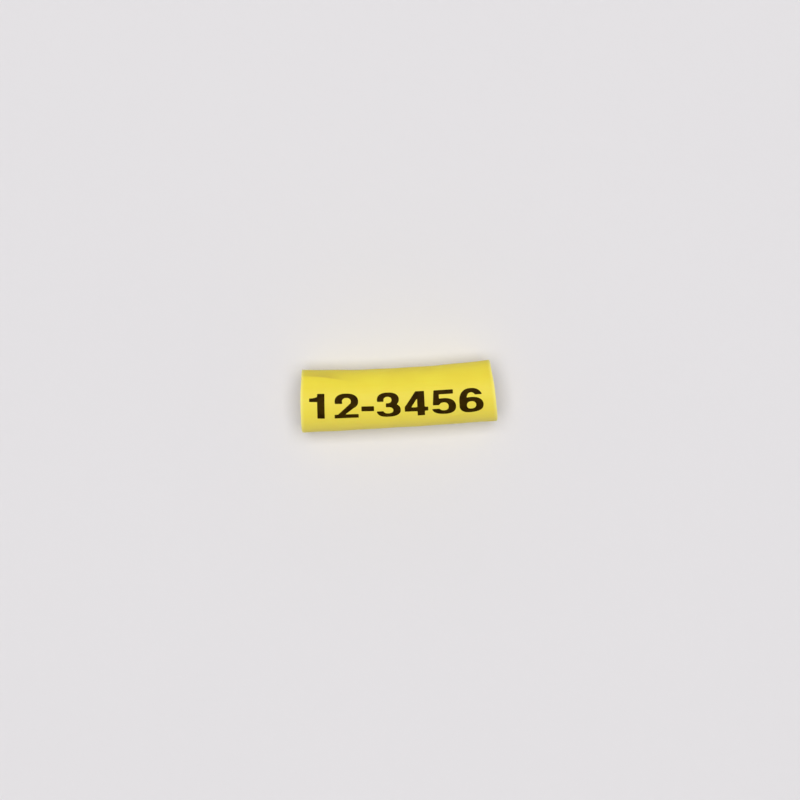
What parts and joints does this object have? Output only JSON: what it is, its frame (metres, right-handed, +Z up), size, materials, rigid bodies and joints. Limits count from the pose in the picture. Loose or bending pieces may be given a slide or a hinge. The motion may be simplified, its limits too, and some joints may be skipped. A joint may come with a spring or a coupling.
{
  "type": "cable marker",
  "caption": "Yellow heat-shrink marker sleeve for a cable, printed with a black identification number; round grip in the middle, slightly flared mouths with side creases.",
  "frame": {"origin": "on the bore axis, half way between the two cut ends", "axes": "+X along the bore in the reading direction of the print, +Z up through the printed face, +Y towards the top of the printed figures; the side creases lie on +Y and -Y"},
  "size_m": [0.0344, 0.0112, 0.0107],
  "materials": {
    "sleeve": "satin",
    "print_ink": "satin"
  },
  "bodies": {
    "root": {"marker_sleeve": "sleeve"}
  },
  "joints": []
}
